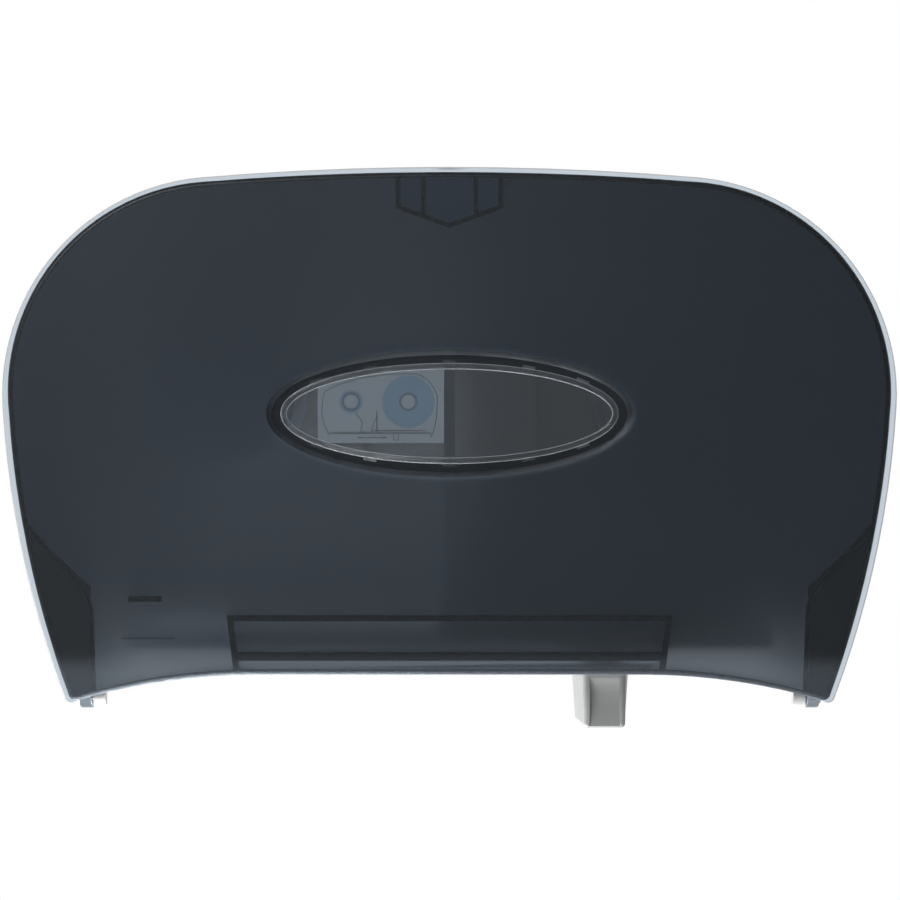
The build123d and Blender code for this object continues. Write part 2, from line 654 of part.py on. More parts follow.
def paper_divider():
    z0, z1 = SHELF_Z
    front, back = DIVIDER_Y
    half, bead = DIVIDER_T / 2, DIVIDER_BEAD
    rise = [(front + y, DIVIDER_TOP_Z - z) for y, z in DIVIDER_FRONT]
    fall = [(back - y, DIVIDER_TOP_Z - z) for y, z in DIVIDER_REAR]
    fin = side_slab(outline([(front, z1), (back, z1), *fall, *rise[::-1]]), -half, half)
    inner = bead[0] / 2
    edge = [(front + inner, z1), (rise[0][0] + inner, rise[0][1]), (rise[1][0], rise[1][1] - inner)]
    room = block((-bead[1], bead[1]), (FRONT_Y, 0), (z1, DIVIDER_TOP_Z))
    fin += side_slab(strip(edge, bead[0]), -bead[1] / 2, bead[1] / 2) & room
    fin += block((-DIVIDER_FOOT[0] / 2, DIVIDER_FOOT[0] / 2), DIVIDER_Y, (z1, z1 + DIVIDER_FOOT[1]))
    fin += [block((-TONGUE_T / 2, TONGUE_T / 2), ys, SHELF_Z) for ys in TONGUES_Y]
    return fin


def countersunk(x, y):
    return Pos(x, y, SHUTTER_TOP_Z - COUNTERSINK[1] / 2) * Cone(SCREW_R, *COUNTERSINK)


def shutter_plate():
    z0, z1 = SHUTTER_TOP_Z - SHUTTER_T, SHUTTER_TOP_Z
    front = SHELF_FRONT_Y + RAIL_T + GAP
    back = PAD_Y - FLANGE_T - RAIL_T - GAP
    shape = RectangleRounded(SHUTTER_W, back - front, SHUTTER_R)
    plate = layer(Pos(LEVER_X, (front + back) / 2) * shape, z0, z1)
    for y in LEVER_SCREW_Y:
        plate -= countersunk(LEVER_X, y)
        plate -= rod_z(LEVER_X, y, SCREW_R, z0 - 1, z1)
    return plate


def lever_outline(front_w, rear_w):
    y0, y1 = LEVER_Y
    return outline([(-front_w / 2, y0), (front_w / 2, y0), (rear_w / 2, y1), (-rear_w / 2, y1)])


def shutter_lever():
    # Hollow paddle that tapers to the front and down, with a dished thumb face
    z0, z1 = LEVER_Z
    low = lever_outline(LEVER_FRONT_W[0], LEVER_REAR_W[0])
    high = lever_outline(LEVER_FRONT_W[1], LEVER_REAR_W[1])
    body = loft([at_z(z0) * low, at_z(z1) * high], ruled=True)
    upright = body.edges().filter_by(lambda e: e.bounding_box().size.Z > (z1 - z0) / 2)
    body = fillet(body.faces().sort_by(Axis.Z)[0].edges() + upright, LEVER_EDGE_R)
    dish_y, dish_z = LEVER_Y[0] + DISH_DEPTH - DISH_R, (z0 + z1) / 2 - DISH_DROP
    body -= rod_x(dish_y, dish_z, DISH_R, -DISH_HALF_W, DISH_HALF_W)
    neck_top = SHUTTER_TOP_Z - SHUTTER_T
    body += block((-NECK_HALF_W, NECK_HALF_W), NECK_Y, (z1 - BITE, neck_top))
    body -= [rod_z(0, y, SCREW_R, neck_top - LONG_SCREW + SHUTTER_T, neck_top + 1) for y in LEVER_SCREW_Y]
    body -= [block((-POCKET_HALF_W, POCKET_HALF_W), ys, (z0 - 1, z1 - POCKET_ROOF)) for ys in POCKETS_Y]
    return Pos(LEVER_X, 0, 0) * body


def lever_screw(y):
    head = countersunk(0, 0) - Pos(0, 0, SHUTTER_TOP_Z) * cross_slot(COUNTERSINK[1], COUNTERSINK[1])
    shank = rod_z(0, 0, SCREW_R, SHUTTER_TOP_Z - LONG_SCREW, SHUTTER_TOP_Z - COUNTERSINK[1])
    return Pos(LEVER_X, y, 0) * (head + shank)


def latch_keeper():
    back = PAD_Y
    post_back = LOCK_Y - CAM_W / 2 - KEEPER_GAP
    post_y = (post_back - KEEPER_T, post_back)
    arm_top = crown(CAM_DEPTH[0]) - KEEPER_ARM_DROP
    arm_z = (arm_top - KEEPER_T, arm_top)
    keeper = block(KEEPER_FLANGE_X, (back - KEEPER_T, back), KEEPER_FLANGE_Z)
    keeper += block((KEEPER_ARM_X, KEEPER_POST_X[1]), (post_y[0], back), arm_z)
    keeper += block(KEEPER_POST_X, post_y, (arm_z[0], crown(CAM_DEPTH[1]) + KEEPER_TIP))
    keeper = fillet(keeper.edges().filter_by(Axis.Y).group_by(Axis.Z)[-1], KEEPER_ROUND)
    keeper -= [rod_y(x, z, SCREW_R, back - OVERRUN, back + 1) for x, z in keeper_screw_spots()]
    return keeper


def lock_barrel():
    seat, top, boss = crown(SEAT_DEPTH) + HEAD_ROOM, crown(TOP_DEPTH), crown(BOSS_DEPTH)
    foot, cam = crown(FOOT_DEPTH), crown(CAM_DEPTH[0])
    barrel = rod_z(0, 0, BARREL_HEAD_R, seat, top)
    barrel = chamfer(barrel.faces().sort_by(Axis.Z)[-1].edges(), BARREL_CHAMFER)
    barrel += rod_z(0, 0, BARREL_R, foot, seat)
    barrel += layer(Rectangle(DRIVE, DRIVE), cam, foot)
    groove = Circle(CLIP_R) - Circle(BARREL_R - CLIP_BITE)
    barrel -= layer(groove, boss - CLIP_SLOT[0], boss - CLIP_SLOT[1])
    half_w, half_l, depth = KEY_SLOT
    barrel -= block((-half_w, half_w), (-half_l, half_l), (top - depth, top + 1))
    barrel -= rod_z(0, 0, KEY_DISH[0], top - KEY_DISH[1], top + 1)
    barrel -= rod_z(0, 0, SCREW_R, cam - 1, cam + CAM_SCREW + 1)
    return Pos(0, LOCK_Y, 0) * barrel


def lock_clip():
    boss = crown(BOSS_DEPTH)
    washer = Circle(CLIP_R) - Circle(BARREL_R - CLIP_BITE)
    clip = layer(washer, boss - CLIP_SLOT[0], boss - CLIP_SLOT[1])
    clip -= block((0, CLIP_R + 1), (-CLIP_MOUTH, CLIP_MOUTH), (boss - OVERRUN, boss))
    return Pos(0, LOCK_Y, 0) * clip


def lock_cam():
    reach = CAM_REACH - CAM_W / 2
    arm = Circle(CAM_W / 2 + CAM_EYE) + Pos(0, reach / 2) * Rectangle(CAM_W, reach)
    arm += Pos(0, reach) * Circle(CAM_W / 2)
    low, high = crown(CAM_DEPTH[0]), crown(CAM_DEPTH[1])
    return Pos(0, LOCK_Y, 0) * layer(arm - Rectangle(DRIVE, DRIVE), low, high)


def cam_screw():
    return Pos(0, LOCK_Y, crown(CAM_DEPTH[0])) * Rot(180, 0, 0) * screw(CAM_SCREW, CAM_SCREW_HEAD)


def side_nodes(name, side):
    nodes = {
        f"{name}_hinge_pin": hinge_pin(side),
        f"{name}_spindle_post": spindle_post(side),
        f"{name}_spindle_hub": spindle_hub(side),
        f"{name}_hub_cap": hub_cap(side),
        f"{name}_axle_screw": axle_screw(side),
    }
    for i, (x, z) in enumerate(post_screw_spots(side), 1):
        nodes[f"{name}_post_screw_{i}"] = facing_front(screw(LONG_SCREW), x, PAD_Y - POST_FLANGE_T, z)
    return nodes


def main():
    os.makedirs("parts", exist_ok=True)
    nodes = {
        "back_plate": back_plate(),
        "paper_shelf": paper_shelf(),
        "paper_divider": paper_divider(),
        "latch_keeper": latch_keeper(),
        "cover": cover(),
        "window_lens": window_lens(),
        "instruction_card": instruction_card(),
        "lock_barrel": lock_barrel(),
        "lock_clip": lock_clip(),
        "lock_cam": lock_cam(),
        "cam_screw": cam_screw(),
        "shutter_plate": shutter_plate(),
        "shutter_lever": shutter_lever(),
    }
    nodes.update(side_nodes("left", -1))
    nodes.update(side_nodes("right", 1))
    for i, x in enumerate(SHELF_SCREW_X, 1):
        nodes[f"shelf_screw_{i}"] = facing_front(screw(SHORT_SCREW), x, PAD_Y - FLANGE_T, SHELF_SCREW_Z)
    for i, (x, z) in enumerate(keeper_screw_spots(), 1):
        nodes[f"keeper_screw_{i}"] = facing_front(screw(SHORT_SCREW), x, PAD_Y - KEEPER_T, z)
    for i, y in enumerate(LEVER_SCREW_Y, 1):
        nodes[f"lever_screw_{i}"] = lever_screw(y)
    for name, shape in nodes.items():
        export_step(shape, f"parts/{name}.step")


main()
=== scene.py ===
import json
import math
import bmesh
import bpy
from mathutils import Matrix, Vector

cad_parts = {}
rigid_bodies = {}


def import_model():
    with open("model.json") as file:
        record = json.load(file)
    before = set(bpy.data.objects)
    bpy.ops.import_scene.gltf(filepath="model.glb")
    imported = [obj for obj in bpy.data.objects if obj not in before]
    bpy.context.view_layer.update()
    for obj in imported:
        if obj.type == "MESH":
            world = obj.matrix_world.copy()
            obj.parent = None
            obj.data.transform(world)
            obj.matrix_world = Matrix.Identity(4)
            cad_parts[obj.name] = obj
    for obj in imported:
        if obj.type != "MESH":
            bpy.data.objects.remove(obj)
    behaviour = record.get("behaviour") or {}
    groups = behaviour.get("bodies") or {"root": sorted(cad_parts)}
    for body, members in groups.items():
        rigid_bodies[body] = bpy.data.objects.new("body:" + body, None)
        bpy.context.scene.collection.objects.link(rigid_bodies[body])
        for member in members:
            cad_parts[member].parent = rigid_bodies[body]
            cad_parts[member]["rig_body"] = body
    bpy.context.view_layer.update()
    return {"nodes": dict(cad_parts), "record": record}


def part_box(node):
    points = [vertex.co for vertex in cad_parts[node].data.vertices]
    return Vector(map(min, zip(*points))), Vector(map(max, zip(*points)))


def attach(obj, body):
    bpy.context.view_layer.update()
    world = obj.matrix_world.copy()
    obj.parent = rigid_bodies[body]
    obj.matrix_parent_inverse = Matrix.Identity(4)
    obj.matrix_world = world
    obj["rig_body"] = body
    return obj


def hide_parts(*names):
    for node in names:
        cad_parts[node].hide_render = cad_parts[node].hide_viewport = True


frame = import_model()
print("stage: frame loaded")

# The photograph was taken square on, from a little below the spindles
cameraSpot = {"distance": 2.5, "height": -0.0318, "aside": 0.0003, "viewWidth": 0.4873,
              "sensor": 36.0, "clip": (0.05, 60.0)}


def buildCamera():
    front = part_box("cover")[0].y
    data = bpy.data.cameras.new("camera")
    data.sensor_width = cameraSpot["sensor"]
    data.lens = data.sensor_width * cameraSpot["distance"] / cameraSpot["viewWidth"]
    data.clip_start, data.clip_end = cameraSpot["clip"]
    camera = bpy.data.objects.new("camera", data)
    bpy.context.scene.collection.objects.link(camera)
    camera.location = (cameraSpot["aside"], front - cameraSpot["distance"], cameraSpot["height"])
    camera.rotation_euler = (math.pi / 2, 0, 0)
    bpy.context.scene.camera = camera


# Node helpers: a socket's value may be a number, a colour or another node's output

def addNode(tree, kind, values=None, **props):
    node = tree.nodes.new(kind)
    for name, value in props.items():
        setattr(node, name, value)
    for name, value in (values or {}).items():
        if isinstance(value, bpy.types.NodeSocket):
            tree.links.new(value, node.inputs[name])
        else:
            node.inputs[name].default_value = value
    return node


def freshTree(name, kind="materials"):
    holder = getattr(bpy.data, kind).new(name)
    holder.use_nodes = True
    holder.node_tree.nodes.clear()
    return holder, holder.node_tree


def objectCoords(tree, stretch=(1, 1, 1)):
    coords = addNode(tree, "ShaderNodeTexCoord")
    mapping = addNode(tree, "ShaderNodeMapping", {"Vector": coords.outputs["Object"], "Scale": stretch})
    return mapping.outputs["Vector"]


def axisOf(tree, place, axis="Y"):
    return addNode(tree, "ShaderNodeSeparateXYZ", {"Vector": place}).outputs[axis]


def noise(tree, place, scale, detail=3.0, roughness=0.5):
    sizes = {"Vector": place, "Scale": scale, "Detail": detail, "Roughness": roughness}
    return addNode(tree, "ShaderNodeTexNoise", sizes).outputs["Fac"]


def remap(tree, source, low, high, start=0.0, end=1.0):
    ends = {"Value": source, "From Min": start, "From Max": end, "To Min": low, "To Max": high}
    return addNode(tree, "ShaderNodeMapRange", ends).outputs["Result"]


def mathNode(tree, operation, *values):
    return addNode(tree, "ShaderNodeMath", dict(enumerate(values)), operation=operation).outputs["Value"]


def product(tree, first, *others):
    for other in others:
        first = mathNode(tree, "MULTIPLY", first, other)
    return first


def blendColours(tree, share, dark, light):
    ramp = addNode(tree, "ShaderNodeValToRGB", {"Fac": share})
    ramp.color_ramp.elements[0].color = (*dark, 1)
    ramp.color_ramp.elements[1].color = (*light, 1)
    return ramp.outputs["Color"]


def bump(tree, height, distance):
    return addNode(tree, "ShaderNodeBump", {"Height": height, "Distance": distance}).outputs["Normal"]


def mixShaders(tree, share, first, second):
    return addNode(tree, "ShaderNodeMixShader", {"Fac": share, 1: first, 2: second}).outputs["Shader"]


def shaderOf(tree, kind, values=None):
    return addNode(tree, kind, values).outputs["BSDF"]


def finishMaterial(tree, surface, volume=None):
    output = addNode(tree, "ShaderNodeOutputMaterial", {"Surface": surface})
    if volume is not None:
        tree.links.new(volume, output.inputs["Volume"])


# Smoke plastic of the cover. "passed" is what gets through one wall, and depths count from the cover's front
smoke = {
    "passed": (0.174, 0.197, 0.226),
    "wall": 0.003,
    "wallTolerance": 0.00012,
    "density": 700.0,
    "frontRoughness": 0.42,
    "sideRoughness": 0.10,
    "frontDepths": (0.0016, 0.0026),
    "shineColour": (0.82, 0.91, 1.0),
    "shineLeast": 0.04,
    "shinePower": 5.0,
    "blurIndex": 1.35,
    "blurRoughness": 0.6,
    "scatter": 0.35,
    "frost": (0.68, 0.12),
    "frostHeights": (-0.100, -0.146),
    "lockBox": (0.0285, 0.353, 0.0885),
    "frostColour": (0.62, 0.76, 0.94),
    # These entries place painted shade on the groove floor round the lens and on the inner face beside the
    # legs
    "grooveFloor": 0.0032,
    "grooveTolerance": 0.00008,
    "grooveInside": (0.0915, 0.0273, -0.012),
    "groovePaintedShade": 0.95,
    "legLine": (0.1945, 0.917, -0.2842),
    "legPaintedShade": 0.9,
    "paintedShadeColour": (0.012, 0.013, 0.015),
    "grainScale": 1500.0,
    "grainDetail": 2.0,
    "grainDepth": 0.00003,
    "haze": (0.012, 0.13),
    "hazeHeights": (-0.142, -0.152),
    "hazeColour": (0.30, 0.36, 0.43),
}


def reflectShare(tree):
    facing = addNode(tree, "ShaderNodeLayerWeight").outputs["Facing"]
    grazing = mathNode(tree, "POWER", facing, smoke["shinePower"])
    return mathNode(tree, "MULTIPLY_ADD", grazing, 1.0 - smoke["shineLeast"], smoke["shineLeast"])


def inLockBox(tree, place):
    # Inside the ribs of the lock box the wall is frosted all over; the box's foot is a shallow V
    halfWidth, slope, foot = smoke["lockBox"]
    aside = mathNode(tree, "ABSOLUTE", axisOf(tree, place, "X"))
    vee = mathNode(tree, "MULTIPLY_ADD", aside, slope, foot)
    above = mathNode(tree, "GREATER_THAN", axisOf(tree, place, "Z"), vee)
    return product(tree, mathNode(tree, "LESS_THAN", aside, halfWidth), above)


def paintedShadeShare(tree, place, depth, front, matt):
    # Painted shade in two places: the groove floor round the lens, and the inner face beside the legs,
    # outside the webs
    aside = mathNode(tree, "ABSOLUTE", axisOf(tree, place, "X"))
    height = axisOf(tree, place, "Z")
    halfWidth, halfHeight, middle = smoke["grooveInside"]
    across = mathNode(tree, "POWER", mathNode(tree, "DIVIDE", aside, halfWidth), 2.0)
    fromMiddle = mathNode(tree, "SUBTRACT", height, middle)
    up = mathNode(tree, "POWER", mathNode(tree, "DIVIDE", fromMiddle, halfHeight), 2.0)
    beyond = mathNode(tree, "GREATER_THAN", mathNode(tree, "ADD", across, up), 1.0)
    onFloor = mathNode(tree, "COMPARE", depth, front + smoke["grooveFloor"], smoke["grooveTolerance"])
    groove = product(tree, beyond, onFloor, smoke["groovePaintedShade"])
    inner, slope, offset = smoke["legLine"]
    pastInner = mathNode(tree, "GREATER_THAN", aside, inner)
    underWeb = mathNode(tree, "SUBTRACT", height, product(tree, aside, slope))
    leg = product(tree, pastInner, mathNode(tree, "LESS_THAN", underWeb, offset), matt, smoke["legPaintedShade"])
    return mathNode(tree, "MAXIMUM", groove, leg)


def bouncedRays(tree):
    path = addNode(tree, "ShaderNodeLightPath").outputs
    return mathNode(tree, "MAXIMUM", path["Is Shadow Ray"], path["Is Diffuse Ray"])


def smokePlastic():
    material, tree = freshTree("smokePlastic")
    place = objectCoords(tree)
    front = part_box("cover")[0].y
    depth = axisOf(tree, place)
    nearest, furthest = smoke["frontDepths"]
    outside = remap(tree, depth, 1.0, 0.0, front + nearest, front + furthest)
    matt = mathNode(tree, "COMPARE", depth, front + smoke["wall"], smoke["wallTolerance"])
    grain = noise(tree, place, smoke["grainScale"], smoke["grainDetail"])
    normal = bump(tree, product(tree, grain, outside), smoke["grainDepth"])
    # Lamps and bounced light cross the wall straight; to the eye the matt inner face blurs what is behind it
    blurShare = product(tree, mathNode(tree, "SUBTRACT", 1.0, bouncedRays(tree)), matt)
    straight = shaderOf(tree, "ShaderNodeBsdfTransparent")
    blurred = shaderOf(tree, "ShaderNodeBsdfRefraction", {
        "IOR": smoke["blurIndex"], "Roughness": smoke["blurRoughness"]})
    scattered = shaderOf(tree, "ShaderNodeBsdfTranslucent")
    seen = mixShaders(tree, smoke["scatter"], blurred, scattered)
    through = mixShaders(tree, blurShare, straight, seen)
    # The matt inner face also throws back some of the light that came in through the wall
    frost = shaderOf(tree, "ShaderNodeBsdfDiffuse", {"Color": (*smoke["frostColour"], 1)})
    frostShare = remap(tree, axisOf(tree, place, "Z"), *smoke["frost"], *smoke["frostHeights"])
    frostShare = mathNode(tree, "MAXIMUM", frostShare, inLockBox(tree, place))
    through = mixShaders(tree, product(tree, matt, frostShare), through, frost)
    # Painted shade: a near-black diffuse laid over the groove floor and the inner face beside the legs
    dark = shaderOf(tree, "ShaderNodeBsdfDiffuse", {"Color": (*smoke["paintedShadeColour"], 1)})
    through = mixShaders(tree, paintedShadeShare(tree, place, depth, front, matt), through, dark)
    haze = shaderOf(tree, "ShaderNodeBsdfDiffuse", {"Color": (*smoke["hazeColour"], 1), "Normal": normal})
    gloss = remap(tree, outside, smoke["sideRoughness"], smoke["frontRoughness"])
    shine = shaderOf(tree, "ShaderNodeBsdfAnisotropic", {
        "Color": (*smoke["shineColour"], 1), "Roughness": gloss, "Normal": normal})
    hazeShare = remap(tree, axisOf(tree, place, "Z"), *smoke["haze"], *smoke["hazeHeights"])
    body = mixShaders(tree, hazeShare, through, haze)
    surface = mixShaders(tree, reflectShare(tree), body, shine)
    taken = [-math.log(share) / smoke["wall"] for share in smoke["passed"]]
    tint = [1 - amount / smoke["density"] for amount in taken]
    inside = addNode(tree, "ShaderNodeVolumeAbsorption", {"Color": (*tint, 1), "Density": smoke["density"]})
    finishMaterial(tree, surface, inside.outputs["Volume"])
    return material


# Clear plastic of the window lens; "glow" is the colour of the painted highlight on its rounded edges
clear = {"tint": (0.93, 0.95, 0.96), "ior": 1.49, "roughness": 0.02, "waveScale": 60.0, "waveDetail": 1.0,
         "waveDepth": 0.00002, "glow": (0.85, 0.90, 0.95), "paintedHighlightShare": (0.03, 0.75), "paintedHighlightTurn": (0.78, 0.2)}


def clearPlastic():
    material, tree = freshTree("clearPlastic")
    wave = noise(tree, objectCoords(tree), clear["waveScale"], clear["waveDetail"])
    glass = shaderOf(tree, "ShaderNodeBsdfPrincipled", {
        "Base Color": (*clear["tint"], 1), "Transmission Weight": 1.0, "IOR": clear["ior"],
        "Roughness": clear["roughness"], "Normal": bump(tree, wave, clear["waveDepth"])})
    # Painted highlight: edges that turn away from the front are mixed towards a white diffuse, standing in
    # for the bright lines on the rounded rim
    turned = addNode(tree, "ShaderNodeTexCoord").outputs["Normal"]
    frontward = mathNode(tree, "ABSOLUTE", axisOf(tree, turned))
    rounded = remap(tree, frontward, *clear["paintedHighlightShare"], *clear["paintedHighlightTurn"])
    glow = shaderOf(tree, "ShaderNodeBsdfDiffuse", {"Color": (*clear["glow"], 1)})
    glass = mixShaders(tree, rounded, glass, glow)
    # Light that comes from the card behind the clear wall, or goes to it, crosses straight
    straight = shaderOf(tree, "ShaderNodeBsdfTransparent", {"Color": (*clear["tint"], 1)})
    mirrored = addNode(tree, "ShaderNodeLightPath").outputs["Is Glossy Ray"]
    behind = mathNode(tree, "MAXIMUM", bouncedRays(tree), mirrored)
    finishMaterial(tree, mixShaders(tree, behind, glass, straight))
    return material


# Moulded plastics share a fine texture and a faint cloudy colour; thin walls let some light through
mouldings = {
    "trayPlastic": {"dark": (0.47, 0.475, 0.47), "light": (0.53, 0.53, 0.525), "rough": (0.42, 0.55),
                    "thin": 0.10, "thick": 0.04, "thinFrom": (-0.014, -0.007)},
    "shelfPlastic": {"dark": (0.55, 0.555, 0.55), "light": (0.62, 0.62, 0.615), "rough": (0.42, 0.55),
                     "thin": 0.28},
    "hubPlastic": {"dark": (0.66, 0.67, 0.68), "light": (0.74, 0.75, 0.76), "rough": (0.38, 0.5),
                   "thin": 0.5},
    "finPlastic": {"dark": (0.70, 0.71, 0.72), "light": (0.77, 0.78, 0.79), "rough": (0.4, 0.52),
                   "thin": 0.35},
    "shutterPlastic": {"dark": (0.34, 0.35, 0.36), "light": (0.40, 0.41, 0.42), "rough": (0.4, 0.52)},
    "leverPlastic": {"dark": (0.30, 0.302, 0.302), "light": (0.34, 0.342, 0.342), "rough": (0.34, 0.46)},
}
mouldTexture = {"cloudScale": 14.0, "cloudDetail": 4.0, "textureScale": 900.0, "textureDetail": 2.0,
                "depth": 0.00004, "ior": 1.46, "glow": (0.68, 0.77, 0.84)}


def mouldedPlastic(name):
    look = mouldings[name]
    material, tree = freshTree(name)
    place = objectCoords(tree)
    cloud = noise(tree, place, mouldTexture["cloudScale"], mouldTexture["cloudDetail"])
    texture = noise(tree, place, mouldTexture["textureScale"], mouldTexture["textureDetail"])
    surface = shaderOf(tree, "ShaderNodeBsdfPrincipled", {
        "IOR": mouldTexture["ior"], "Base Color": blendColours(tree, cloud, look["dark"], look["light"]),
        "Roughness": remap(tree, texture, *look["rough"]),
        "Normal": bump(tree, texture, mouldTexture["depth"])})
    if "thin" in look:
        share = look["thin"]
        if "thinFrom" in look:
            share = remap(tree, axisOf(tree, place), look["thick"], look["thin"], *look["thinFrom"])
        glow = shaderOf(tree, "ShaderNodeBsdfTranslucent", {"Color": (*mouldTexture["glow"], 1)})
        surface = mixShaders(tree, share, surface, glow)
    finishMaterial(tree, surface)
    return material


# Plated metals: a brushed roughness and cloudy spangle
metals = {
    "zincSteel": {"dark": (0.46, 0.46, 0.47), "light": (0.62, 0.62, 0.63), "rough": (0.24, 0.42),
                  "stretch": (1, 1, 8)},
    "lockChrome": {"dark": (0.60, 0.60, 0.61), "light": (0.72, 0.72, 0.73), "rough": (0.12, 0.26),
                   "stretch": (1, 1, 1)},
}
metalTexture = {"brushScale": 700.0, "brushDetail": 3.0, "spangleScale": 90.0, "spangleDetail": 2.0,
                "depth": 0.00001}


def platedMetal(name):
    look = metals[name]
    material, tree = freshTree(name)
    place = objectCoords(tree, look["stretch"])
    brush = noise(tree, place, metalTexture["brushScale"], metalTexture["brushDetail"])
    spangle = noise(tree, place, metalTexture["spangleScale"], metalTexture["spangleDetail"])
    finishMaterial(tree, shaderOf(tree, "ShaderNodeBsdfPrincipled", {
        "Metallic": 1.0, "Base Color": blendColours(tree, spangle, look["dark"], look["light"]),
        "Roughness": remap(tree, brush, *look["rough"]), "Normal": bump(tree, brush, metalTexture["depth"])}))
    return material


# Card paper and the inks printed on it
inks = {
    "cardPaper": {"dark": (0.125, 0.148, 0.172), "light": (0.15, 0.172, 0.20)},
    "rollInk": {"dark": (0.065, 0.112, 0.162), "light": (0.08, 0.132, 0.187)},
    "lineInk": {"dark": (0.012, 0.016, 0.024), "light": (0.022, 0.028, 0.04)},
}
# "fibre" is the noise's scale, detail and roughness
paperTexture = {"fibre": (1100.0, 4.0, 0.7), "roughness": 0.7, "depth": 0.00002}


def printedCard(name):
    look = inks[name]
    material, tree = freshTree(name)
    fibre = noise(tree, objectCoords(tree), *paperTexture["fibre"])
    finishMaterial(tree, shaderOf(tree, "ShaderNodeBsdfPrincipled", {
        "Base Color": blendColours(tree, fibre, look["dark"], look["light"]),
        "Roughness": paperTexture["roughness"], "Normal": bump(tree, fibre, paperTexture["depth"])}))
    return material


materials = {"smokePlastic": smokePlastic(), "clearPlastic": clearPlastic()}
materials.update({name: mouldedPlastic(name) for name in mouldings})
materials.update({name: platedMetal(name) for name in metals})
materials.update({name: printedCard(name) for name in inks})
print("stage: materials made")

# Finish of a node, by its name or else by its material slot
nodeFinish = {
    "cover": "smokePlastic",
    "window_lens": "clearPlastic",
    "instruction_card": "cardPaper",
    "paper_shelf": "shelfPlastic",
    "paper_divider": "finPlastic",
    "shutter_lever": "leverPlastic",
    "shutter_plate": "shutterPlastic",
}
finishBySlot = {
    "light_grey_plastic": "trayPlastic",
    "hub_plastic": "hubPlastic",
    "steel": "zincSteel",
    "lock_zinc": "lockChrome",
}
nodeSlots = {part["node"]: part["material_slot"] for part in frame["record"]["subparts"]}


def finishOf(node):
    return materials[nodeFinish.get(node) or finishBySlot[nodeSlots[node]]]


for nodeName, node in frame["nodes"].items():
    node.data.materials.clear()
    node.data.materials.append(finishOf(nodeName))
print("stage: CAD nodes dressed")


def linkPiece(name, mesh):
    piece = bpy.data.objects.new(name, mesh)
    bpy.context.scene.collection.objects.link(piece)
    return piece


def bakeModifiers(piece):
    graph = bpy.context.evaluated_depsgraph_get()
    plain = bpy.data.meshes.new_from_object(piece.evaluated_get(graph), depsgraph=graph)
    piece.modifiers.clear()
    piece.data = plain


# Geometry trees: one float input for each size, the result realized and given its material

def sizedTree(name, sizes):
    tree = bpy.data.node_groups.new(name, "GeometryNodeTree")
    for direction in ("INPUT", "OUTPUT"):
        tree.interface.new_socket(name="Geometry", in_out=direction, socket_type="NodeSocketGeometry")
    for size in sizes:
        tree.interface.new_socket(name=size, in_out="INPUT", socket_type="NodeSocketFloat")
    tree.interface.new_socket(name="Finish", in_out="INPUT", socket_type="NodeSocketMaterial")
    return tree, addNode(tree, "NodeGroupInput").outputs


def closeTree(tree, given, geometry):
    realized = addNode(tree, "GeometryNodeRealizeInstances", {"Geometry": geometry})
    finished = addNode(tree, "GeometryNodeSetMaterial",
                       {"Geometry": realized.outputs["Geometry"], "Material": given["Finish"]})
    addNode(tree, "NodeGroupOutput", {"Geometry": finished.outputs["Geometry"]})


def growPiece(name, tree, points, sizes, finish, edges=(), leans=None):
    # The tree grows on a bare mesh of points or lines, and the result becomes the piece's own mesh
    mesh = bpy.data.meshes.new(name)
    mesh.from_pydata(points, edges, [])
    if leans:
        mesh.attributes.new("lean", "FLOAT", "POINT").data.foreach_set("value", leans)
    piece = linkPiece(name, mesh)
    grow = piece.modifiers.new("grow", "NODES")
    grow.node_group = tree
    for socket in tree.interface.items_tree:
        if socket.in_out == "INPUT" and socket.name in sizes:
            grow[socket.identifier] = sizes[socket.name]
        if socket.in_out == "INPUT" and socket.name == "Finish":
            grow[socket.identifier] = materials[finish]
    bakeModifiers(piece)
    return piece


def vectorOf(tree, x=0.0, y=0.0, z=0.0):
    return addNode(tree, "ShaderNodeCombineXYZ", {"X": x, "Y": y, "Z": z}).outputs["Vector"]


def placed(tree, geometry, **how):
    return addNode(tree, "GeometryNodeTransform", {"Geometry": geometry, **how}).outputs["Geometry"]


def upright(tree, geometry, depth=0.0):
    # Flat work in X-Y is stood up so that its top faces the front, at the given depth
    return placed(tree, geometry, Rotation=(math.pi / 2, 0, 0), Translation=vectorOf(tree, y=depth))


def circleOf(tree, radius, sides):
    values = {"Radius": radius, "Resolution": sides}
    return addNode(tree, "GeometryNodeCurvePrimitiveCircle", values).outputs["Curve"]


def lineUp(tree, height):
    return addNode(tree, "GeometryNodeCurvePrimitiveLine", {"End": vectorOf(tree, z=height)}).outputs["Curve"]


def sweep(tree, path, profile, caps=True, scale=1.0):
    values = {"Curve": path, "Profile Curve": profile, "Scale": scale, "Fill Caps": caps}
    return addNode(tree, "GeometryNodeCurveToMesh", values).outputs["Mesh"]


# Rounded pieces shade smoothly, and flat faces keep their own normal beside a rounded edge
smoothPieces = {"creaseDegrees": 28.0, "mergeDistance": 0.000002, "flatDegrees": 0.2, "weight": 100}


